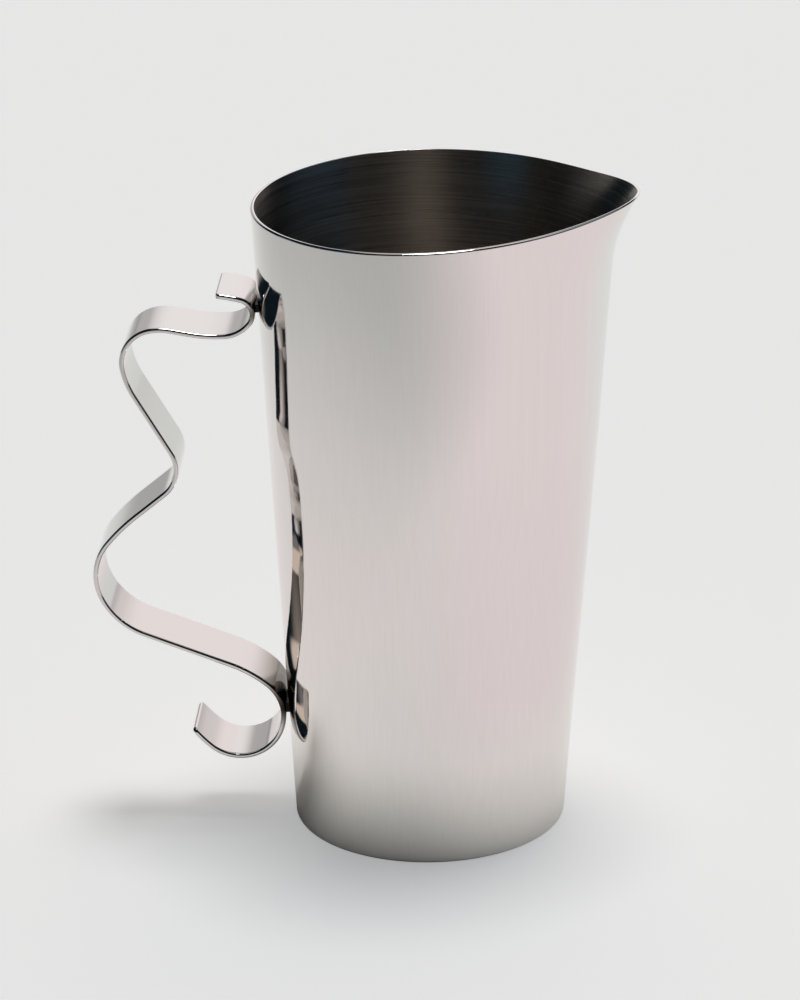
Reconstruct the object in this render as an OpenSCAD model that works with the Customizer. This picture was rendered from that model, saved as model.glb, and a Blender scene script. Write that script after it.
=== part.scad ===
// Cocktail pitcher: a tapered sheet-steel body with a pulled pouring lip, a flat base let into it,
// and a handle bent from one flat strap that is welded to the wall at its two curls.
// Millimetres. Origin at the middle of the underside, +Z up, +X toward the lip, -X toward the handle.

/* [Body] */
// Height of the rim at the handle side
body_h = 180; // [168:1:230]
// Diameter across the foot of the wall
base_d = 76.4; // [68:0.2:90]
// Diameter of the round mouth, before the lip is pulled
mouth_d = 100; // [92:0.5:120]
// How far the middle of the mouth stands toward the lip
mouth_forward = 3.65; // [0:0.05:8]
// Thickness of the wall sheet
wall_t = 1; // [0.6:0.05:1.6]
// Rounding of the outer lower edge of the wall
foot_r = 0.8; // [0.2:0.05:1.2]

/* [Pouring lip] */
// How far the tip of the lip is drawn out past the round mouth
lip_reach = 6; // [0:0.1:9]
// Depth of wall below the rim that is bent out to form the tip
lip_depth = 20.5; // [12:0.5:34]
// How far the sides of the mouth are drawn in beside the lip
side_draw = 3.6; // [0:0.1:6]
// Depth of wall below the rim over which the sides are drawn in
side_depth = 75; // [50:1:100]
// Rise of the rim from the handle side to the lip side
rim_rise = 1.9; // [0:0.1:6]
// Further rise of the rim at the tip of the lip
tip_rise = 1.2; // [0:0.1:4]

/* [Base] */
// Thickness of the base plate
base_t = 1.2; // [0.8:0.1:2.5]
// Leg of the weld that joins the base plate to the wall
base_weld_leg = 1.5; // [0.8:0.1:2.5]

/* [Handle strap] */
// Width of the strap
strap_w = 20; // [17:0.5:24]
// Thickness of the strap
strap_t = 1.4; // [1:0.1:2]
// Rounding along both edges of the strap
strap_edge_r = 0.5; // [0.2:0.05:0.5]
// Rounding of the corners at both ends of the strap
strap_corner_r = 1.5; // [0.5:0.1:3]
// Distance of the upper weld below the rim
upper_weld_drop = 28.7; // [24:0.1:34]

/* [Handle bends] */
// Bend radius of the upper free end
upper_lip_r = 40; // [30:1:60]
// Bend radius of the upper curl, against the wall
upper_curl_r = 4.25; // [3.5:0.25:5]
// Bend radius where the upper curl opens
upper_unwind_r = 9.75; // [9:0.25:12]
// Bend radius of the strap as it leaves the upper curl
upper_sweep_r = 41; // [30:1:50]
// Straight run above the fingers
upper_run = 5; // [3:0.5:9]
// Bend radius before the upper lobe
shoulder_r = 16.5; // [14:0.5:20]
// Bend radius of the upper lobe
upper_lobe_r = 9.75; // [9:0.25:11.5]
// Bend radius below the upper lobe
upper_fall_r = 23.5; // [20:0.5:30]
// Straight run from the upper lobe to the waist
grip_run = 19.25; // [16:0.25:22]
// Bend radius of the waist
waist_r = 9.5; // [8:0.25:10.5]
// Straight run below the waist
waist_run = 10.5; // [8:0.5:13]
// Bend radius before the lower lobe
hip_r = 59; // [50:1:70]
// Bend radius of the lower lobe
lower_lobe_r = 15.5; // [14:0.5:17]
// Bend radius after the lower lobe
lower_fall_r = 21; // [19:0.5:23]
// Straight run back toward the wall
lower_run = 25.5; // [22:0.5:28]
// Bend radius of the strap as it comes to the lower curl
lower_sweep_r = 36; // [32:1:40]
// Bend radius of the lower curl, against the wall
lower_curl_r = 12.5; // [11.5:0.5:13.5]
// Bend radius of the lower free end
lower_lip_r = 38; // [30:1:60]

/* [Welds] */
// Distance that the welds hold the strap off the wall
weld_gap = 0.2; // [0.1:0.05:0.8]
// Width of both handle welds, across the strap
weld_w = 10; // [6:0.5:15]
// Height of the upper handle weld
upper_weld_h = 2.25; // [1.5:0.25:4]
// Height of the lower handle weld
lower_weld_h = 3; // [2:0.25:6]

/* [Hidden] */

// Flat facets round the wall; the first edge lies under the tip of the lip, so one lies at the handle
facets = 96;
$fn = facets;
// Finer facets on the hollow faces of the handle welds, so that they lie true against the curls
curl_facets = 480;
// Distance by which a cutting shape runs past what it cuts
overrun = 2;
// Clearance round the base plate inside the wall
seat_gap = 0.05;
// The rounding of the foot stays within the wall's thickness
foot_limit_share = 0.85;
foot_edge_r = min(foot_r, wall_t * foot_limit_share);
// Angle to either side of the tip at which the lip has fallen away
lip_angle = 22;
// Angle from the tip at which the sides are drawn in most, and the angle to either side where that ends
side_angle = 55;
side_spread_angle = 70;
// Heights of the wall's rings below the rim, as shares of the deepest bend
ring_shares = [1, 0.84, 0.68, 0.54, 0.42, 0.34, 0.26, 0.18, 0.12, 0.07, 0.03, 0];

base_r = base_d / 2;
mouth_r = mouth_d / 2;
bend_depth = max(lip_depth, side_depth);
wall_slope = (mouth_r - base_r) / body_h;
wall_lean = mouth_forward / body_h;
plate_r = (base_r - wall_t) * cos(180 / facets) - seat_gap;

// Turn of each bend of the strap, left turns positive
upper_lip_angle = -10;
upper_curl_angle = -113.5;
upper_unwind_angle = -49;
upper_sweep_angle = -13.5;
shoulder_angle = 18.5;
upper_lobe_angle = 92;
upper_fall_angle = 20;
waist_angle = -81;
hip_angle = 11.5;
lower_lobe_angle = 65.5;
lower_fall_angle = 43;
lower_sweep_angle = -19;
lower_curl_angle = -181.5;
lower_lip_angle = -10.5;
// The bend sheet of the strap, from the upper free end to the lower one.
// Each row is a name, a straight run, then a bend radius and its turn.
bends = [
    ["upper lip", 0, upper_lip_r, upper_lip_angle],
    ["upper curl", 0, upper_curl_r, upper_curl_angle],
    ["upper unwind", 0, upper_unwind_r, upper_unwind_angle],
    ["upper sweep", 0, upper_sweep_r, upper_sweep_angle],
    ["shoulder", upper_run, shoulder_r, shoulder_angle],
    ["upper lobe", 0, upper_lobe_r, upper_lobe_angle],
    ["upper fall", 0, upper_fall_r, upper_fall_angle],
    ["waist", grip_run, waist_r, waist_angle],
    ["hip", waist_run, hip_r, hip_angle],
    ["lower lobe", 0, lower_lobe_r, lower_lobe_angle],
    ["lower fall", 0, lower_fall_r, lower_fall_angle],
    ["lower sweep", lower_run, lower_sweep_r, lower_sweep_angle],
    ["lower curl", 0, lower_curl_r, lower_curl_angle],
    ["lower lip", 0, lower_lip_r, lower_lip_angle],
];
last_bend = len(bends) - 1;
// Rows of the sheet that rest against the wall
upper_curl = search(["upper curl"], bends)[0];
lower_curl = search(["lower curl"], bends)[0];
// Largest turn between two sections of the strap, and the steps round each of its end corners
bend_step_angle = 6;
corner_steps = 3;
// The rounding of the strap's edges stays within its thickness
edge_limit_share = 0.45;
edge_r = min(strap_edge_r, strap_t * edge_limit_share);

// Walk along the bend sheet, in the strap's own plane
function run_length(i) = bends[i][1];
function bend_r(i) = bends[i][2];
function bend_turn(i) = bends[i][3];
function across(a) = [-sin(a), cos(a)];
function heading(i) = i == 0 ? 0 : heading(i - 1) + bend_turn(i - 1);
function entry(i) = i == 0 ? [0, 0] : leave(i - 1);
function run_end(i) = entry(i) + run_length(i) * [cos(heading(i)), sin(heading(i))];
function side(i) = sign(bend_turn(i));
function centre(i) = run_end(i) + side(i) * bend_r(i) * across(heading(i));
function leave(i) = centre(i) - side(i) * bend_r(i) * across(heading(i) + bend_turn(i));

// Lay the strap against the wall: both curls touch the straight line of the wall at the handle side
wall_foot = [-base_r, 0];
wall_top = [mouth_forward - mouth_r, body_h];
wall_up = (wall_top - wall_foot) / norm(wall_top - wall_foot);
wall_out = [-wall_up[1], wall_up[0]];
upper_reach = upper_curl_r + strap_t / 2 + weld_gap;
lower_reach = lower_curl_r + strap_t / 2 + weld_gap;
reach_step = lower_reach - upper_reach;
curl_span = centre(lower_curl) - centre(upper_curl);
curl_drop = sqrt(pow(norm(curl_span), 2) - pow(reach_step, 2));
laid_span = reach_step * wall_out - curl_drop * wall_up;
strap_turn = atan2(laid_span[1], laid_span[0]) - atan2(curl_span[1], curl_span[0]);
upper_weld_z = body_h - upper_weld_drop;
upper_contact = wall_foot + (wall_top - wall_foot) * upper_weld_z / body_h;
upper_centre = upper_contact + upper_reach * wall_out;
lower_centre = upper_centre + laid_span;

// Shape of the mouth, by the angle from the tip of the lip
function from_tip(a) = a > 180 ? a - 360 : a;
function lip_share(a) = exp(-pow(from_tip(a) / lip_angle, 2));
function draw_offset(a) = min(1, abs(abs(from_tip(a)) - side_angle) / side_spread_angle);
function draw_share(a) = (1 + cos(180 * draw_offset(a))) / 2;
function rim_z(a) = body_h + rim_rise * (1 + cos(a)) / 2 + tip_rise * lip_share(a);
function near_rim(depth, reach) = max(0, 1 - depth / reach);
function ease(t) = t * t * (3 - 2 * t);
function mouth_push(a, depth) =
    lip_reach * lip_share(a) * pow(near_rim(depth, lip_depth), 2)
    - side_draw * draw_share(a) * ease(near_rim(depth, side_depth));

// A point on the wall at angle a and height z, set in from the outer face
function wall_point(a, z, inset) =
    let (r = base_r + wall_slope * z + mouth_push(a, rim_z(a) - z) - inset)
    [wall_lean * z + r * cos(a), r * sin(a), z];
function level_ring(z, inset) = [for (i = [0 : facets - 1]) wall_point(360 * i / facets, z, inset)];
function rim_ring(depth, inset) = [
    for (i = [0 : facets - 1])
        let (a = 360 * i / facets)
        wall_point(a, rim_z(a) - depth, inset)
];

// Skin over a closed loop of rings
module ring_loop(rings) {
    count = len(rings);
    faces = [
        for (j = [0 : count - 1], i = [0 : facets - 1])
            let (a = j * facets, b = ((j + 1) % count) * facets, n = (i + 1) % facets)
            each [[a + i, b + i, b + n], [a + i, b + n, a + n]]
    ];
    polyhedron(points = [for (ring = rings) each ring], faces = faces);
}

// Rolled and seam-welded sheet, tapered, with the lip pulled out of the rim
module body_wall() {
    outside = [for (s = ring_shares) rim_ring(bend_depth * s, 0)];
    inside = [for (s = ring_shares) rim_ring(bend_depth * s, wall_t)];
    top = len(ring_shares) - 1;
    color("silver")
        ring_loop([
            each [for (b = [0 : 30 : 90]) level_ring(foot_edge_r * (1 - cos(b)), foot_edge_r * (1 - sin(b)))],
            each outside,
            each [for (j = [top : -1 : 0]) inside[j]],
            level_ring(0, wall_t),
        ]);
}

// Flat disc let into the foot of the wall
module base_plate() {
    color("lightgray") cylinder(h = base_t, r = plate_r);
}

// Weld all round the inside corner, between the base plate and the wall
module base_weld() {
    color("gray")
        rotate_extrude()
            polygon([
                [plate_r - base_weld_leg, base_t],
                [plate_r, base_t],
                [plate_r + (wall_slope - wall_lean) * base_weld_leg, base_t + base_weld_leg],
            ]);
}

// Places along the strap, as turns made within one row of the bend sheet
function corner_turn(i) = strap_corner_r / bend_r(i) * 180 / PI;
function even_turns(from, to) =
    let (count = ceil((to - from) / bend_step_angle))
    [for (k = [0 : count]) from + (to - from) * k / count];
function corner_step(i, k) = corner_turn(i) * (1 - cos(90 * k / corner_steps));
function turns(i) =
    let (whole = abs(bend_turn(i)), corner = corner_turn(i))
    i == 0 ? [for (k = [0 : corner_steps - 1]) corner_step(i, k), each even_turns(corner, whole)]
    : i < last_bend ? even_turns(0, whole)
    : [
        each even_turns(0, whole - corner),
        for (k = [corner_steps - 1 : -1 : 0]) whole - corner_step(i, k),
    ];

// Half the width of the strap there: full, but for the rounded corners of its two free ends
function end_turn(i, turn) = i == 0 ? turn : i == last_bend ? abs(bend_turn(i)) - turn : corner_turn(i);
function half_width(i, turn) =
    let (left = 1 - min(1, end_turn(i, turn) / corner_turn(i)))
    strap_w / 2 - strap_corner_r * (1 - sqrt(1 - left * left));

// Section of the strap there, edges rounded
function strap_ring(i, turn) =
    let (
        a = heading(i) + side(i) * turn,
        middle = centre(i) - side(i) * bend_r(i) * across(a),
        flat_t = strap_t / 2 - edge_r,
        flat_w = half_width(i, turn) - edge_r
    )
    [
        for (q = [[1, 1, 0], [-1, 1, 90], [-1, -1, 180], [1, -1, 270]], b = [0, 30, 60, 90])
            let (p = middle + (q[0] * flat_t + edge_r * cos(q[2] + b)) * across(a))
            [p[0], p[1], q[1] * flat_w + edge_r * sin(q[2] + b)]
    ];

// One flat strap, bent on its flat and laid against the wall
module handle_strap() {
    rings = [
        for (i = [0 : last_bend], turn = turns(i))
            if (turn > 0 || i == 0 || run_length(i) > 0) strap_ring(i, turn)
    ];
    around = len(rings[0]);
    ends = len(rings) - 1;
    sides = [
        for (j = [0 : ends - 1], k = [0 : around - 1])
            let (a = j * around, b = a + around, n = (k + 1) % around)
            each [[a + k, b + k, b + n], [a + k, b + n, a + n]]
    ];
    first = [for (k = [0 : around - 1]) k];
    last = [for (k = [around - 1 : -1 : 0]) ends * around + k];
    color("gainsboro")
        rotate([90, 0, 0])
            translate(upper_centre)
                rotate(strap_turn)
                    translate(-centre(upper_curl))
                        polyhedron(
                            points = [for (ring = rings) each ring],
                            faces = concat(sides, [first, last])
                        );
}

// Solid cone of the wall's outer face, without the lip, that the handle welds are fitted to
module wall_cone() {
    cone = [
        for (z = [0, body_h], i = [0 : facets - 1])
            let (a = 360 * i / facets, r = base_r + wall_slope * z)
            [wall_lean * z + r * cos(a), r * sin(a), z]
    ];
    sides = [
        for (i = [0 : facets - 1])
            let (n = (i + 1) % facets)
            each [[i, facets + i, facets + n], [i, facets + n, n]]
    ];
    foot = [for (i = [0 : facets - 1]) i];
    top = [for (i = [facets - 1 : -1 : 0]) facets + i];
    polyhedron(points = cone, faces = concat(sides, [foot, top]));
}

// Weld metal between a curl and the wall, at the curl's own centre
module handle_weld(middle, curl_r, height) {
    face_r = curl_r + strap_t / 2;
    difference() {
        rotate([90, 0, 0])
            translate(middle)
                rotate(atan2(-wall_out[1], -wall_out[0]))
                    translate([0, -height / 2, -weld_w / 2])
                        cube([face_r + weld_gap + overrun, height, weld_w]);
        rotate([90, 0, 0])
            translate(middle)
                cylinder(h = weld_w + overrun, r = face_r, center = true, $fn = curl_facets);
        wall_cone();
    }
}

// Weld at the upper curl
module upper_weld() {
    color("darkgray") handle_weld(upper_centre, upper_curl_r, upper_weld_h);
}

// Weld at the lower curl
module lower_weld() {
    color("darkgray") handle_weld(lower_centre, lower_curl_r, lower_weld_h);
}

body_wall();
base_plate();
base_weld();
handle_strap();
upper_weld();
lower_weld();
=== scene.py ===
import math
import bpy
from mathutils import Matrix, Vector


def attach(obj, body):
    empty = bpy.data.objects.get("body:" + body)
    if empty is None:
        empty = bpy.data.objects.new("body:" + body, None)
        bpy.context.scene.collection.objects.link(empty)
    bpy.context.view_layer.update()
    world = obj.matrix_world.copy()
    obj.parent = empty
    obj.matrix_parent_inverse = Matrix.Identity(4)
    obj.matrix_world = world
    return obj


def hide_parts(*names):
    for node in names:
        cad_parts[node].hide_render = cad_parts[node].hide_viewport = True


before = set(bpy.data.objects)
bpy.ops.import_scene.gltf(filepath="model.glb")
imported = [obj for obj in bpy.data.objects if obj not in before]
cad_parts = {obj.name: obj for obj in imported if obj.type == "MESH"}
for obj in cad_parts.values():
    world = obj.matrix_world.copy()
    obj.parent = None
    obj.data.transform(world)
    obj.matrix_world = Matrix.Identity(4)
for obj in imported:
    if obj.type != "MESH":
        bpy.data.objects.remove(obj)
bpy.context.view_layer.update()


# Body wall: one sheet of stainless steel, rolled to a tapered tube and seam welded. The pouring lip is
# pulled out of the rim by hand, which draws the mouth in on both sides of it. The rim is rounded over,
# the outside polished, and the inside left as it was brushed round.
MM = 0.001
body_h = 180 * MM
base_r = 38.2 * MM
mouth_r = 50 * MM
mouth_forward = 3.65 * MM
wall_t = 1 * MM
rim_outer_r = 0.55 * MM
rim_inner_r = 0.1 * MM
rim_outer_angle = math.radians(35)
rim_inner_angle = math.radians(-12)
foot_r = 0.8 * MM
lip_reach = 6 * MM
lip_depth = 20.5 * MM
lip_angle = math.radians(22)
side_draw = 3.6 * MM
side_depth = 75 * MM
side_angle = math.radians(55)
side_spread = math.radians(70)
rim_rise = 1.9 * MM
tip_rise = 1.2 * MM
wall_slope = (mouth_r - base_r) / body_h
wall_lean = mouth_forward / body_h
wall_around = 288
wall_rings = 110
edge_steps = 10
# One more ring of points lies this share of the height from each edge, and keeps the edge's rounding from
# bending the shading of the sheet
edge_share = 0.001

# The rim's section, from the outer face over to the inner one: three arcs, the middle one a shallow crown
outer_arc_w = rim_outer_r * (1 - math.sin(rim_outer_angle))
inner_arc_w = rim_inner_r * (1 + math.sin(rim_inner_angle))
crown_w = wall_t - outer_arc_w - inner_arc_w
crown_r = crown_w / (math.sin(rim_outer_angle) - math.sin(rim_inner_angle))
rim_arcs = [
    (rim_outer_r, math.pi / 2, rim_outer_angle),
    (crown_r, rim_outer_angle, rim_inner_angle),
    (rim_inner_r, rim_inner_angle, -math.pi / 2),
]
rim_points = [(0, 0)]
for arc_r, leans_from, leans_to in rim_arcs:
    inset, lift = rim_points[-1]
    for step in range(1, edge_steps + 1):
        lean = leans_from + (leans_to - leans_from) * step / edge_steps
        across_arc = arc_r * (math.sin(leans_from) - math.sin(lean))
        rim_points.append((inset + across_arc, lift + arc_r * (math.cos(lean) - math.cos(leans_from))))
rim_h = max(lift for inset, lift in rim_points)
rim_drop = rim_points[-1][1]


def rim_z(angle):
    """The height of the rim at an angle from the lip: it rises from handle to lip, and again to the tip."""
    return body_h + rim_rise * (1 + math.cos(angle)) / 2 + tip_rise * math.exp(-(angle / lip_angle) ** 2)


def mouth_push(angle, depth):
    """How far the pulled mouth stands off the plain taper, at an angle from the lip and below the rim."""
    tip = max(0, 1 - depth / lip_depth) ** 2 * math.exp(-(angle / lip_angle) ** 2)
    beside = min(1, abs(abs(angle) - side_angle) / side_spread)
    near = max(0, 1 - depth / side_depth)
    drawn = near * near * (3 - 2 * near) * (1 + math.cos(math.pi * beside)) / 2
    return lip_reach * tip - side_draw * drawn


def wall_point(angle, share, lift, inset):
    """A point of the sheet at a share of its height, then lifted, and set in from the outside."""
    top = rim_z(angle)
    z = foot_r + share * (top - rim_h - foot_r) + lift
    r = base_r + wall_slope * z + mouth_push(angle, top - z) - inset
    return wall_lean * z + r * math.cos(angle), r * math.sin(angle), z


def skin(rings, ends_open):
    """Points and faces over a row of closed rings; the last joins the first unless the ends are open."""
    around = len(rings[0])
    faces = []
    for j in range(len(rings) - ends_open):
        here = j * around
        there = (j + 1) % len(rings) * around
        for k in range(around):
            nxt = (k + 1) % around
            faces.append((here + k, here + nxt, there + nxt, there + k))
    return [point for ring in rings for point in ring], faces


def new_piece(name, points, faces):
    """A smooth mesh of these points and faces, as a named piece of the scene."""
    mesh = bpy.data.meshes.new(name)
    mesh.from_pydata(points, [], faces)
    mesh.shade_smooth()
    piece = bpy.data.objects.new(name, mesh)
    bpy.context.scene.collection.objects.link(piece)
    return piece


# The wall's section from the foot up the outside, over the rim and down the inside
sheet_shares = [0, edge_share] + [k / wall_rings for k in range(1, wall_rings)] + [1 - edge_share, 1]
profile = []
for step in range(edge_steps):
    turn = math.pi / 2 * step / edge_steps
    profile.append((0, -foot_r * math.cos(turn), foot_r * (1 - math.sin(turn))))
profile += [(share, 0, 0) for share in sheet_shares]
profile += [(1, lift, inset) for inset, lift in rim_points[1:-1]]
inside_start = len(profile)
profile += [(share, rim_drop * share, wall_t) for share in reversed(sheet_shares)]
inside_end = len(profile)
profile.append((0, -foot_r, wall_t))
wall_angles = [math.pi * (2 * k / wall_around - 1) for k in range(wall_around)]
wall_loops = [[wall_point(angle, *row) for angle in wall_angles] for row in profile]
wall = new_piece("body_wall_sheet", *skin(wall_loops, False))


def linear(hex_colour):
    """A colour written as sRGB hex, as the linear values that a shader takes."""
    parts = [int(hex_colour[i : i + 2], 16) / 255 for i in (1, 3, 5)]
    return (*[p / 12.92 if p <= 0.04045 else ((p + 0.055) / 1.055) ** 2.4 for p in parts], 1)


def new_tree(name):
    """An empty material, with its node tree."""
    material = bpy.data.materials.new(name)
    material.use_nodes = True
    material.node_tree.nodes.clear()
    return material, material.node_tree


def add_node(tree, kind, settings, inputs):
    """Adds a node, sets its options, and fills its inputs with values or with other nodes' outputs."""
    node = tree.nodes.new(kind)
    for name, value in settings.items():
        setattr(node, name, value)
    for name, value in inputs.items():
        if isinstance(value, bpy.types.NodeSocket):
            tree.links.new(value, node.inputs[name])
        else:
            node.inputs[name].default_value = value
    return node


# Noise keeps mostly to the middle of its range, so these parts of it are drawn out to a whole swing
gloss_span = {"From Min": 0.3, "From Max": 0.7}
tone_span = {"From Min": 0.35, "From Max": 0.65}


def finish_lines(tree, spacing, detail):
    """The fine lines of a metal finish: noise drawn out to a real size along each axis."""
    place = add_node(tree, "ShaderNodeTexCoord", {}, {})
    scale = [1 / size for size in spacing]
    spread = add_node(tree, "ShaderNodeMapping", {}, {"Vector": place.outputs["Object"], "Scale": scale})
    drawn = {"Vector": spread.outputs["Vector"], "Scale": 1, "Detail": detail}
    return add_node(tree, "ShaderNodeTexNoise", {}, drawn).outputs["Fac"]


def two_tone(tree, lines, low_hex, high_hex):
    """A colour that swings between two with the lines of a finish."""
    swing = add_node(tree, "ShaderNodeMapRange", {}, {"Value": lines, **tone_span})
    tones = {"Factor": swing.outputs["Result"], "A": linear(low_hex), "B": linear(high_hex)}
    return add_node(tree, "ShaderNodeMix", {"data_type": "RGBA"}, tones).outputs["Result"]


# Polished stainless steel: a mirror with the last polishing lines running up the sheet. They are finer than
# a pixel, so they are drawn wider, and show as faint upright streaks.
polish_w = 0.7 * MM
polish_length = 90 * MM
polish_depth = 0.02 * MM
polish_relief = 0.15
polish_smoothest = 0.03
polish_roughest = 0.07
polished, tree = new_tree("polished_stainless_steel")
lines = finish_lines(tree, (polish_w, polish_w, polish_length), 3)
gloss = add_node(
    tree,
    "ShaderNodeMapRange",
    {},
    {"Value": lines, **gloss_span, "To Min": polish_smoothest, "To Max": polish_roughest},
)
relief = add_node(
    tree, "ShaderNodeBump", {}, {"Height": lines, "Strength": polish_relief, "Distance": polish_depth}
)
steel = add_node(
    tree,
    "ShaderNodeBsdfPrincipled",
    {},
    {
        "Base Color": two_tone(tree, lines, "#E7E3E1", "#E5E1DF"),
        "Metallic": 1,
        "Roughness": gloss.outputs["Result"],
        "Normal": relief.outputs["Normal"],
    },
)
add_node(tree, "ShaderNodeOutputMaterial", {}, {"Surface": steel.outputs["BSDF"]})

# Brushed stainless steel: fine grooves that run round the inside and smear what it mirrors up and down.
# They are drawn coarser than the real ones, so that they show as faint rings.
groove_w = 0.5 * MM
groove_length = 40 * MM
groove_depth = 0.1 * MM
groove_relief = 0.3
groove_smoothest = 0.26
groove_roughest = 0.42
groove_smear = 0.9
quarter_turn = 0.25
brushed, tree = new_tree("brushed_stainless_steel")
lines = finish_lines(tree, (groove_length, groove_length, groove_w), 4)
gloss = add_node(
    tree,
    "ShaderNodeMapRange",
    {},
    {"Value": lines, **gloss_span, "To Min": groove_smoothest, "To Max": groove_roughest},
)
relief = add_node(
    tree, "ShaderNodeBump", {}, {"Height": lines, "Strength": groove_relief, "Distance": groove_depth}
)
round_axis = add_node(tree, "ShaderNodeTangent", {"direction_type": "RADIAL", "axis": "Z"}, {})
steel = add_node(
    tree,
    "ShaderNodeBsdfPrincipled",
    {},
    {
        "Base Color": two_tone(tree, lines, "#B7B0A8", "#D6CEC5"),
        "Metallic": 1,
        "Roughness": gloss.outputs["Result"],
        "Anisotropic": groove_smear,
        "Anisotropic Rotation": quarter_turn,
        "Tangent": round_axis.outputs["Tangent"],
        "Normal": relief.outputs["Normal"],
    },
)
add_node(tree, "ShaderNodeOutputMaterial", {}, {"Surface": steel.outputs["BSDF"]})

wall.data.materials.append(polished)
wall.data.materials.append(brushed)
for face in wall.data.polygons[inside_start * wall_around : inside_end * wall_around]:
    face.material_index = 1
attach(wall, "root")
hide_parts("body_wall")


# Base plate: a disc cut from the same sheet steel and let into the foot of the wall, flush underneath.
# It keeps the belt-ground finish of the sheet, since no polishing wheel reaches it.

# Belt-ground stainless steel: short straight lines, half matt, so that a lamp above spreads over all of it.
# The lines are drawn coarser than the belt's grit, so that they show.
grind_w = 0.4 * MM
grind_length = 30 * MM
grind_roughness = 0.58
ground, tree = new_tree("belt_ground_stainless_steel")
lines = finish_lines(tree, (grind_length, grind_w, grind_w), 3)
steel = add_node(
    tree,
    "ShaderNodeBsdfPrincipled",
    {},
    {
        "Base Color": two_tone(tree, lines, "#B3ADA6", "#C9C2BA"),
        "Metallic": 1,
        "Roughness": grind_roughness,
    },
)
add_node(tree, "ShaderNodeOutputMaterial", {}, {"Surface": steel.outputs["BSDF"]})
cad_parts["base_plate"].data.materials.clear()
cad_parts["base_plate"].data.materials.append(ground)


# Welds: a bead of stainless filler metal seals the disc to the wall in the corner inside, and two more hold
# the handle's curls to the wall. They are dressed and heat-darkened, and their colour is darker still as
# painted shade of the narrow gaps they lie in.

# Heat-darkened weld steel with painted shade: a brownish dark grey, uneven in gloss with the grain of the
# bead.
weld_grain = 0.6 * MM
weld_grain_depth = 0.1 * MM
weld_relief = 0.4
weld_smoothest = 0.3
weld_roughest = 0.6
weld_metal, tree = new_tree("heat_darkened_weld_steel_painted_shade")
grain = finish_lines(tree, (weld_grain, weld_grain, weld_grain), 2)
gloss = add_node(
    tree,
    "ShaderNodeMapRange",
    {},
    {"Value": grain, "To Min": weld_smoothest, "To Max": weld_roughest},
)
relief = add_node(
    tree, "ShaderNodeBump", {}, {"Height": grain, "Strength": weld_relief, "Distance": weld_grain_depth}
)
steel = add_node(
    tree,
    "ShaderNodeBsdfPrincipled",
    {},
    {
        # Dark brownish grey: heat tint, made darker as painted shade of the gaps
        "Base Color": linear("#332F2C"),
        "Metallic": 1,
        "Roughness": gloss.outputs["Result"],
        "Normal": relief.outputs["Normal"],
    },
)
add_node(tree, "ShaderNodeOutputMaterial", {}, {"Surface": steel.outputs["BSDF"]})
for name in ("base_weld", "upper_weld", "lower_weld"):
    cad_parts[name].data.materials.clear()
    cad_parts[name].data.materials.append(weld_metal)


# Handle strap: one flat strip of stainless steel, bent on its flat into a wave with a curl at each end,
# its edges rounded and all of it mirror polished. Both curls lie against the wall, where they are welded.
strap_w = 20 * MM
strap_t = 1.4 * MM
strap_edge_r = 0.62 * MM
strap_corner_r = 1.5 * MM
upper_weld_drop = 28.7 * MM
weld_gap = 0.2 * MM
strap_step = 0.5 * MM
# A row of points this far inside each rounded edge keeps the flat of the strip flat to the eye
flat_inset = 0.4 * MM
# Each bend is a straight run, then a radius in millimetres and a turn in degrees, left turns positive
bends = [
    (0, 40, -10),
    (0, 4.25, -113.5),
    (0, 9.75, -49),
    (0, 41, -13.5),
    (5, 16.5, 18.5),
    (0, 9.75, 92),
    (0, 23.5, 20),
    (19.25, 9.5, -81),
    (10.5, 59, 11.5),
    (0, 15.5, 65.5),
    (0, 21, 43),
    (25.5, 36, -19),
    (0, 12.5, -181.5),
    (0, 38, -10.5),
]
upper_curl = 1
lower_curl = 12


def ahead_of(heading):
    """The direction that a heading points in, in the strap's plane."""
    return Vector((math.cos(heading), math.sin(heading)))


def across(heading):
    """The direction square to a heading, to its left."""
    return Vector((-math.sin(heading), math.cos(heading)))


# Walk along the bends in the strap's own plane, and note where each straight run and each bend starts
stretches = []
curl_centres = []
at = Vector((0, 0))
heading = 0.0
length = 0.0
for run, radius, turn in bends:
    stretches.append((length, at, heading, 0))
    at = at + run * MM * ahead_of(heading)
    length += run * MM
    bend_r = math.copysign(radius * MM, turn)
    stretches.append((length, at, heading, 1 / bend_r))
    centre = at + bend_r * across(heading)
    curl_centres.append(centre)
    heading += math.radians(turn)
    length += abs(bend_r * math.radians(turn))
    at = centre - bend_r * across(heading)


def strap_at(along):
    """The point of the strip's middle line at a distance along it, and its heading there."""
    start, point, turned_to, curve = [stretch for stretch in stretches if stretch[0] <= along][-1]
    if curve == 0:
        return point + (along - start) * ahead_of(turned_to), turned_to
    now = turned_to + (along - start) * curve
    return point + (across(turned_to) - across(now)) / curve, now


# Lay the strip so that both curls touch the straight line of the wall at the handle side
wall_foot = Vector((-base_r, 0))
wall_top = Vector((mouth_forward - mouth_r, body_h))
wall_up = (wall_top - wall_foot).normalized()
wall_out = Vector((-wall_up.y, wall_up.x))
upper_reach = bends[upper_curl][1] * MM + strap_t / 2 + weld_gap
lower_reach = bends[lower_curl][1] * MM + strap_t / 2 + weld_gap
span = curl_centres[lower_curl] - curl_centres[upper_curl]
drop = math.sqrt(span.length_squared - (lower_reach - upper_reach) ** 2)
laid = (lower_reach - upper_reach) * wall_out - drop * wall_up
strap_turn = math.atan2(laid.y, laid.x) - math.atan2(span.y, span.x)
upper_centre = wall_foot + (wall_top - wall_foot) * (1 - upper_weld_drop / body_h) + upper_reach * wall_out
turned = Matrix.Rotation(strap_turn, 2)


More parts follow.
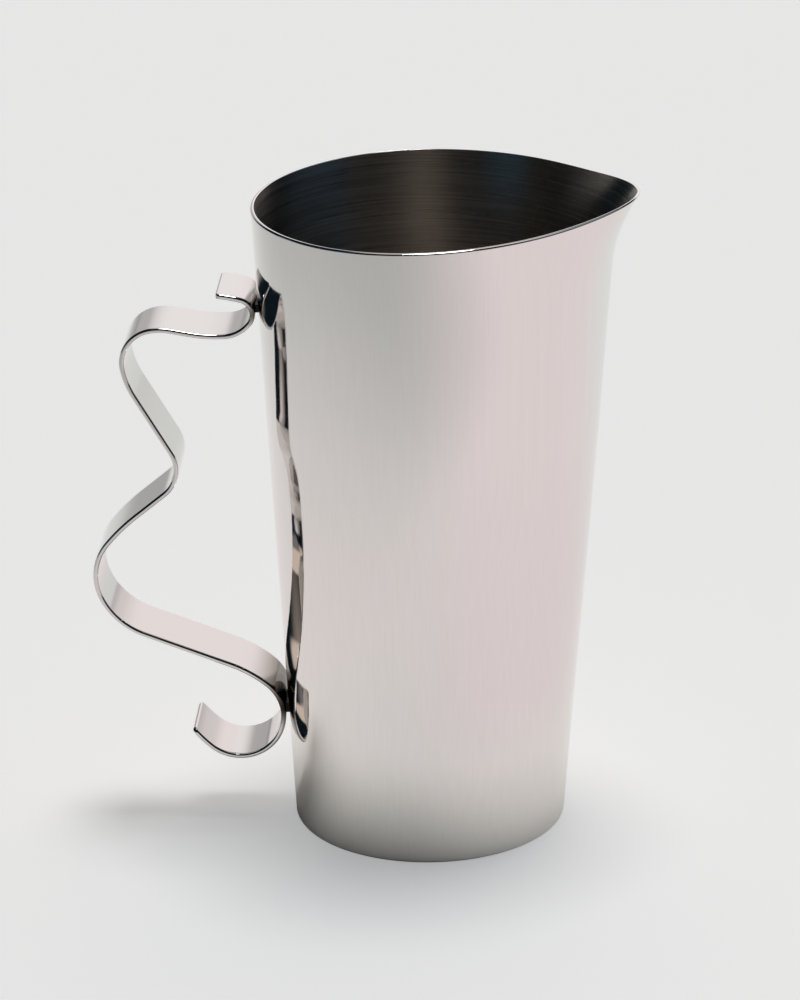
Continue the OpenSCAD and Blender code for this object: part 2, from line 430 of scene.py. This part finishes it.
def strap_ring(along):
    """The strip's rounded section at one place, narrowed and rounded over at its two free ends."""
    to_end = min(along, length - along)
    corner = max(0, 1 - to_end / strap_corner_r)
    half_w = strap_w / 2 - strap_corner_r * (1 - math.sqrt(1 - corner * corner)) - strap_edge_r
    half_t = strap_t / 2 - strap_edge_r
    tip = max(0, 1 - to_end / strap_edge_r)
    edge_r = strap_edge_r * math.sqrt(1 - tip * tip)
    point, facing = strap_at(along)
    middle = upper_centre + turned @ (point - curl_centres[upper_curl])
    up = across(facing + strap_turn)
    flat = half_w - flat_inset
    section = []
    for sign_t, sign_w, start in ((1, 1, 0), (-1, 1, 90), (-1, -1, 180), (1, -1, 270)):
        for k in range(edge_steps + 1):
            angle = math.radians(start + 90 * k / edge_steps)
            edge_t = sign_t * half_t + edge_r * math.cos(angle)
            section.append((edge_t, sign_w * half_w + edge_r * math.sin(angle)))
        if sign_t * sign_w < 0:
            face_t = sign_t * (half_t + edge_r)
            section += [(face_t, sign_w * flat), (face_t, -sign_w * flat)]
    return [(middle.x + up.x * t, -w, middle.y + up.y * t) for t, w in section]


end_places = [strap_edge_r * (1 - math.cos(math.pi / 2 * k / edge_steps)) for k in range(edge_steps)]
end_places += [strap_edge_r + (strap_corner_r - strap_edge_r) * k / edge_steps for k in range(edge_steps)]
body_length = length - 2 * strap_corner_r
body_steps = round(body_length / strap_step)
body_places = [strap_corner_r + body_length * k / body_steps for k in range(body_steps + 1)]
places = end_places + body_places + [length - along for along in reversed(end_places)]
rings = [strap_ring(along) for along in places]
points, faces = skin(rings, True)
ring_count = len(rings[0])
faces.append(tuple(reversed(range(ring_count))))
faces.append(tuple(range((len(rings) - 1) * ring_count, len(rings) * ring_count)))
strap = new_piece("handle_strip", points, faces)

# Mirror-polished stainless strip: faint lines along the strip where the buff ran, drawn coarser than they
# are and seen only in the gloss. Beside the welds lie brown marks, partly heat tint and partly painted
# reflection, and at the lower weld a black mark, the painted shade and dark reflection of the gap there.
buff_w = 0.5 * MM
buff_length = 40 * MM
buff_smoothest = 0.04
buff_roughest = 0.08
# Each mark is the curl it lies on and that curl's reach, then its rise above the weld, radius and colour
weld_tints_and_painted_reflections = [
    (upper_curl, upper_reach, 0, 5 * MM, "#6E6459"),
    (lower_curl, lower_reach, 6 * MM, 13 * MM, "#7A6E61"),
    (lower_curl, lower_reach, 2 * MM, 8 * MM, "#1E1A17"),
]
mirror, tree = new_tree("mirror_polished_stainless_strip")
lines = finish_lines(tree, (buff_length, buff_w, buff_length), 3)
gloss = add_node(
    tree,
    "ShaderNodeMapRange",
    {},
    {"Value": lines, **gloss_span, "To Min": buff_smoothest, "To Max": buff_roughest},
)
place = add_node(tree, "ShaderNodeTexCoord", {}, {})
in_plane = add_node(
    tree, "ShaderNodeVectorMath", {"operation": "MULTIPLY"}, {0: place.outputs["Object"], 1: (1, 0, 1)}
)
colour = linear("#DAD6D4")
# Heat tint and painted reflection: each mark turns the strip's colour towards its own round a weld
for curl, curl_reach, rise, mark_r, mark_hex in weld_tints_and_painted_reflections:
    curl_centre = upper_centre + turned @ (curl_centres[curl] - curl_centres[upper_curl])
    seat = curl_centre - curl_reach * wall_out + rise * wall_up
    from_weld = add_node(
        tree,
        "ShaderNodeVectorMath",
        {"operation": "DISTANCE"},
        {0: in_plane.outputs["Vector"], 1: (seat.x, 0, seat.y)},
    )
    near_weld = add_node(
        tree,
        "ShaderNodeMapRange",
        {"interpolation_type": "SMOOTHSTEP"},
        {"Value": from_weld.outputs["Value"], "From Min": mark_r, "From Max": 0},
    )
    marked = add_node(
        tree,
        "ShaderNodeMix",
        {"data_type": "RGBA"},
        {"Factor": near_weld.outputs["Result"], "A": colour, "B": linear(mark_hex)},
    )
    colour = marked.outputs["Result"]
steel = add_node(
    tree,
    "ShaderNodeBsdfPrincipled",
    {},
    {"Base Color": colour, "Metallic": 1, "Roughness": gloss.outputs["Result"]},
)
add_node(tree, "ShaderNodeOutputMaterial", {}, {"Surface": steel.outputs["BSDF"]})
strap.data.materials.append(mirror)
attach(strap, "root")
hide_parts("handle_strap")


# Floor: a wide sheet of matt pale grey paper that the pitcher stands on. A pool of light is painted on it
# where steel mirrors it, behind and to the right, falling off to the front left, which the polished wall
# mirrors.
floor_half = 6000 * MM
corners = [(-floor_half, -floor_half, 0), (floor_half, -floor_half, 0), (floor_half, floor_half, 0)]
floor = new_piece("floor_paper", corners + [(-floor_half, floor_half, 0)], [(0, 1, 2, 3)])

# Matt pale paper: even and without gloss, lifted to a pale ground where the camera sees it. Where steel
# mirrors it, a painted light is added: a pool with a soft front edge, dimmer far off and near the foot.
paper_lift = 0.38
pool_x = 350 * MM
pool_y = 50 * MM
front_stretch = 1.6
pool_start = 500 * MM
pool_end = 950 * MM
pool_light = 0.39
outside_light = 0.1
lip_pool_heading = (0.95, -0.3, 0)
lip_pool_start = 0
lip_pool_end = 320 * MM
lip_pool_light = 0.06
far_start = 1200 * MM
far_end = 3000 * MM
far_share = 0.45
paper, tree = new_tree("matt_pale_paper_painted_pool")
rays = add_node(tree, "ShaderNodeLightPath", {}, {})
place = add_node(tree, "ShaderNodeNewGeometry", {}, {})
axes = add_node(tree, "ShaderNodeSeparateXYZ", {}, {"Vector": place.outputs["Position"]})
held_back = add_node(
    tree,
    "ShaderNodeVectorMath",
    {"operation": "MINIMUM"},
    {0: place.outputs["Position"], 1: (pool_x, pool_y, 0)},
)
front_drawn_in = add_node(
    tree,
    "ShaderNodeVectorMath",
    {"operation": "MULTIPLY"},
    {0: held_back.outputs["Vector"], 1: (1, front_stretch, 0)},
)
pool_reach = add_node(
    tree,
    "ShaderNodeVectorMath",
    {"operation": "DISTANCE"},
    {0: front_drawn_in.outputs["Vector"], 1: (pool_x, pool_y * front_stretch, 0)},
)
pool = add_node(
    tree,
    "ShaderNodeMapRange",
    {"interpolation_type": "SMOOTHSTEP"},
    {
        "Value": pool_reach.outputs["Value"],
        "From Min": pool_start,
        "From Max": pool_end,
        "To Min": pool_light,
        "To Max": outside_light,
    },
)
lip_side = add_node(
    tree,
    "ShaderNodeVectorMath",
    {"operation": "DOT_PRODUCT"},
    {0: place.outputs["Position"], 1: lip_pool_heading},
)
lip_pool = add_node(
    tree,
    "ShaderNodeMapRange",
    {"interpolation_type": "SMOOTHSTEP"},
    {
        "Value": lip_side.outputs["Value"],
        "From Min": lip_pool_start,
        "From Max": lip_pool_end,
        "To Max": lip_pool_light,
    },
)
whole_pool = add_node(
    tree, "ShaderNodeMath", {"operation": "ADD"}, {0: pool.outputs["Result"], 1: lip_pool.outputs["Result"]}
)
away = add_node(tree, "ShaderNodeVectorMath", {"operation": "LENGTH"}, {0: place.outputs["Position"]})
far = add_node(
    tree,
    "ShaderNodeMapRange",
    {"interpolation_type": "SMOOTHSTEP"},
    {
        "Value": away.outputs["Value"],
        "From Min": far_start,
        "From Max": far_end,
        "To Min": 1,
        "To Max": far_share,
    },
)
far_pool = add_node(
    tree,
    "ShaderNodeMath",
    {"operation": "MULTIPLY"},
    {0: whole_pool.outputs["Value"], 1: far.outputs["Result"]},
)

# Painted shade: the light that the steel mirrors darkens round the foot where the pitcher hides the room,
# less so at the right, where the light comes in under the wall
shade_reach = 50 * MM
shade_samples = 8
shade_darkest = 0.42
lit_from_x = -10 * MM
lit_to_x = 50 * MM
lit_share = 0.55
open_sky = add_node(
    tree, "ShaderNodeAmbientOcclusion", {"samples": shade_samples}, {"Distance": shade_reach}
)
from_right = add_node(
    tree,
    "ShaderNodeMapRange",
    {"interpolation_type": "SMOOTHSTEP"},
    {"Value": axes.outputs["X"], "From Min": lit_from_x, "From Max": lit_to_x, "To Max": lit_share},
)
shade = add_node(
    tree, "ShaderNodeMix", {}, {"Factor": from_right.outputs["Result"], "A": open_sky.outputs["AO"], "B": 1}
)
foot_shade = add_node(
    tree,
    "ShaderNodeMapRange",
    {},
    {"Value": shade.outputs["Result"], "From Min": shade_darkest, "From Max": 1},
)
pooled = add_node(
    tree,
    "ShaderNodeMath",
    {"operation": "MULTIPLY"},
    {0: far_pool.outputs["Value"], 1: foot_shade.outputs["Result"]},
)
seen = add_node(
    tree,
    "ShaderNodeMath",
    {"operation": "MULTIPLY"},
    {0: rays.outputs["Is Camera Ray"], 1: paper_lift},
)
paper_light = add_node(
    tree,
    "ShaderNodeMath",
    {"operation": "MULTIPLY_ADD"},
    {0: pooled.outputs["Value"], 1: rays.outputs["Is Glossy Ray"], 2: seen.outputs["Value"]},
)

# The painted light in the mirrored paper changes its tint a little with the distance from the foot, and is
# rosy towards the lip
ground_tints = [
    (60 * MM, "#FFFEF4"),
    (110 * MM, "#FFFAF6"),
    (190 * MM, "#FFF6F4"),
    (300 * MM, "#FFFDF9"),
    (420 * MM, "#F8FFF9"),
]
rosy_heading = (0.9, -0.42, 0)
rosy_start = 0.1
rosy_whole = 0.97
foot_clear_start = 40 * MM
foot_clear_end = 130 * MM
ground_tint = add_node(tree, "ShaderNodeValToRGB", {}, {"Fac": away.outputs["Value"]})
stops = ground_tint.color_ramp.elements
for distance, tint_hex in ground_tints:
    stop = stops.new(distance)
    stop.color = linear(tint_hex)
stops.remove(stops[0])
stops.remove(stops[len(ground_tints)])
bearing = add_node(
    tree, "ShaderNodeVectorMath", {"operation": "NORMALIZE"}, {0: place.outputs["Position"]}
)
to_lip = add_node(
    tree,
    "ShaderNodeVectorMath",
    {"operation": "DOT_PRODUCT"},
    {0: bearing.outputs["Vector"], 1: rosy_heading},
)
rosy = add_node(
    tree,
    "ShaderNodeMapRange",
    {"interpolation_type": "SMOOTHSTEP"},
    {"Value": to_lip.outputs["Value"], "From Min": rosy_start, "From Max": rosy_whole},
)
off_foot = add_node(
    tree,
    "ShaderNodeMapRange",
    {"interpolation_type": "SMOOTHSTEP"},
    {"Value": away.outputs["Value"], "From Min": foot_clear_start, "From Max": foot_clear_end},
)
rosy_ground = add_node(
    tree,
    "ShaderNodeMath",
    {"operation": "MULTIPLY"},
    {0: rosy.outputs["Result"], 1: off_foot.outputs["Result"]},
)
mirrored_tint = add_node(
    tree,
    "ShaderNodeMix",
    {"data_type": "RGBA"},
    {"Factor": rosy_ground.outputs["Value"], "A": ground_tint.outputs["Color"], "B": linear("#FFEDEF")},
)
tint = add_node(
    tree,
    "ShaderNodeMix",
    {"data_type": "RGBA"},
    {
        "Factor": rays.outputs["Is Glossy Ray"],
        "A": linear("#FFFFFF"),
        "B": mirrored_tint.outputs["Result"],
    },
)
glow = add_node(
    tree,
    "ShaderNodeEmission",
    {},
    {"Color": tint.outputs["Result"], "Strength": paper_light.outputs["Value"]},
)
matt = add_node(tree, "ShaderNodeBsdfDiffuse", {}, {"Color": linear("#E4E4E4")})
both = add_node(tree, "ShaderNodeAddShader", {}, {0: glow.outputs["Emission"], 1: matt.outputs["BSDF"]})
add_node(tree, "ShaderNodeOutputMaterial", {}, {"Surface": both.outputs["Shader"]})
floor.data.materials.append(paper)


# Studio: a pale panel low behind the pitcher and a warm softbox overhead, in a dark room. A grey lamp is
# high at the right over a dim window, and a pale and a blue patch lie low at the left. The polished steel
# mirrors all of it. One broad lamp from above gives the soft shadow on the paper.
world = bpy.data.worlds.new("studio")
bpy.context.scene.world = world
world.use_nodes = True
tree = world.node_tree
tree.nodes.clear()
place = add_node(tree, "ShaderNodeTexCoord", {}, {})
axes = add_node(tree, "ShaderNodeSeparateXYZ", {}, {"Vector": place.outputs["Generated"]})


def direction(azimuth, elevation):
    """The direction to a place in the room, its azimuth clockwise from straight behind the pitcher."""
    flat = math.cos(math.radians(elevation))
    turn = math.radians(azimuth)
    return flat * math.sin(turn), flat * math.cos(turn), math.sin(math.radians(elevation))


def world_patch(azimuth, elevation, inner, outer):
    """How much of a round patch each direction sees: 1 within one angle of its middle, 0 past another."""
    toward = add_node(
        tree,
        "ShaderNodeVectorMath",
        {"operation": "DOT_PRODUCT"},
        {0: place.outputs["Generated"], 1: direction(azimuth, elevation)},
    )
    edges = {"From Min": math.cos(math.radians(outer)), "From Max": math.cos(math.radians(inner))}
    patch = add_node(
        tree,
        "ShaderNodeMapRange",
        {"interpolation_type": "SMOOTHSTEP"},
        {"Value": toward.outputs["Value"], **edges},
    )
    return patch.outputs["Result"]


# The panel grows brighter and a little warmer from left to right, brightest in one patch and dimmer at its
# foot. Sides and heights are parts of a direction, and a patch is an azimuth, an elevation and two angles.
panel_side = 0.4
panel_left_light = 0.5
panel_right_light = 0.82
panel_bright_patch = (7, 22, 6, 24)
panel_bright_light = 1.05
panel_warm_start = -0.02
panel_warm_end = 0.15
panel_foot_h = 0.08
panel_foot_light = 0.78
panel_fade_h = 0.43
panel_top_h = 0.5
panel_patch = (5, 5, 30, 45)
sweep = add_node(
    tree,
    "ShaderNodeMapRange",
    {},
    {
        "Value": axes.outputs["X"],
        "From Min": -panel_side,
        "From Max": panel_side,
        "To Min": panel_left_light,
        "To Max": panel_right_light,
    },
)
lit_sweep = add_node(
    tree,
    "ShaderNodeMix",
    {},
    {"Factor": world_patch(*panel_bright_patch), "A": sweep.outputs["Result"], "B": panel_bright_light},
)
rightward = add_node(
    tree,
    "ShaderNodeMapRange",
    {"interpolation_type": "SMOOTHSTEP"},
    {"Value": axes.outputs["X"], "From Min": panel_warm_start, "From Max": panel_warm_end},
)
tint = add_node(
    tree,
    "ShaderNodeMix",
    {"data_type": "RGBA"},
    {"Factor": rightward.outputs["Result"], "A": linear("#FFFDFD"), "B": linear("#FFF8F7")},
)
above_floor = add_node(
    tree,
    "ShaderNodeMapRange",
    {"interpolation_type": "SMOOTHSTEP"},
    {"Value": axes.outputs["Z"], "From Max": panel_foot_h, "To Min": panel_foot_light, "To Max": 1},
)
panel_light = add_node(
    tree,
    "ShaderNodeMath",
    {"operation": "MULTIPLY"},
    {0: lit_sweep.outputs["Result"], 1: above_floor.outputs["Result"]},
)
panel = add_node(
    tree,
    "ShaderNodeVectorMath",
    {"operation": "SCALE"},
    {0: tint.outputs["Result"], "Scale": panel_light.outputs["Value"]},
)
panel_top = add_node(
    tree,
    "ShaderNodeMapRange",
    {"interpolation_type": "SMOOTHSTEP"},
    {"Value": axes.outputs["Z"], "From Min": panel_top_h, "From Max": panel_fade_h},
)
panel_cut = add_node(
    tree,
    "ShaderNodeMath",
    {"operation": "MULTIPLY"},
    {0: panel_top.outputs["Result"], 1: world_patch(*panel_patch)},
)
room = add_node(
    tree,
    "ShaderNodeMix",
    {"data_type": "RGBA"},
    {"Factor": panel_cut.outputs["Value"], "A": linear("#101D24"), "B": panel.outputs["Vector"]},
)
room_patches = [
    (-79, 8, 4, 11, "#999B9B"),
    (-125, 10, 4, 14, "#386986"),
    (58, 50, 10, 20, "#898989"),
    (92, 24, 14, 34, "#3F5D76"),
    (11, 66, 17, 24, "#F2E4D6"),
]
for azimuth, elevation, inner, outer, patch_hex in room_patches:
    patch = world_patch(azimuth, elevation, inner, outer)
    room = add_node(
        tree,
        "ShaderNodeMix",
        {"data_type": "RGBA"},
        {"Factor": patch, "A": room.outputs["Result"], "B": linear(patch_hex)},
    )
glow = add_node(tree, "ShaderNodeBackground", {}, {"Color": room.outputs["Result"], "Strength": 1})
add_node(tree, "ShaderNodeOutputWorld", {}, {"Surface": glow.outputs["Background"]})

lamp_azimuth = 35
lamp_elevation = 83.7
top_light = bpy.data.lights.new("top_lamp", "SUN")
top_light.angle = math.radians(20)
top_light.energy = 1.2
top_lamp = bpy.data.objects.new("top_lamp", top_light)
lamp_way = Vector(direction(lamp_azimuth, lamp_elevation))
top_lamp.rotation_euler = lamp_way.to_track_quat("Z", "Y").to_euler()
bpy.context.scene.collection.objects.link(top_lamp)


# Camera: a long lens a good metre off, looking 21 degrees down and nearly square on to the plane of lip and
# handle. It stands 3 degrees to the lip's side and is rolled by 1 degree.
view_elevation = math.radians(21.246)
view_azimuth = math.radians(3.111)
view_distance = 1160.7 * MM
view_roll = math.radians(-1)
view_target = Vector((-7.13, -0.39, 93.60)) * MM
lens = bpy.data.cameras.new("camera")
lens.lens = 150.17
lens.sensor_width = 36
camera = bpy.data.objects.new("camera", lens)
level_share = math.cos(view_elevation)
back_x = math.sin(view_azimuth) * level_share
back_y = -math.cos(view_azimuth) * level_share
back = Vector((back_x, back_y, math.sin(view_elevation)))
flat_right = Vector((math.cos(view_azimuth), math.sin(view_azimuth), 0))
right = Matrix.Rotation(-view_roll, 3, -back) @ flat_right
facing = Matrix((right, back.cross(right), back)).transposed().to_4x4()
camera.matrix_world = Matrix.Translation(view_target + back * view_distance) @ facing
bpy.context.scene.collection.objects.link(camera)
bpy.context.scene.camera = camera
bpy.context.scene.view_settings.view_transform = "Standard"
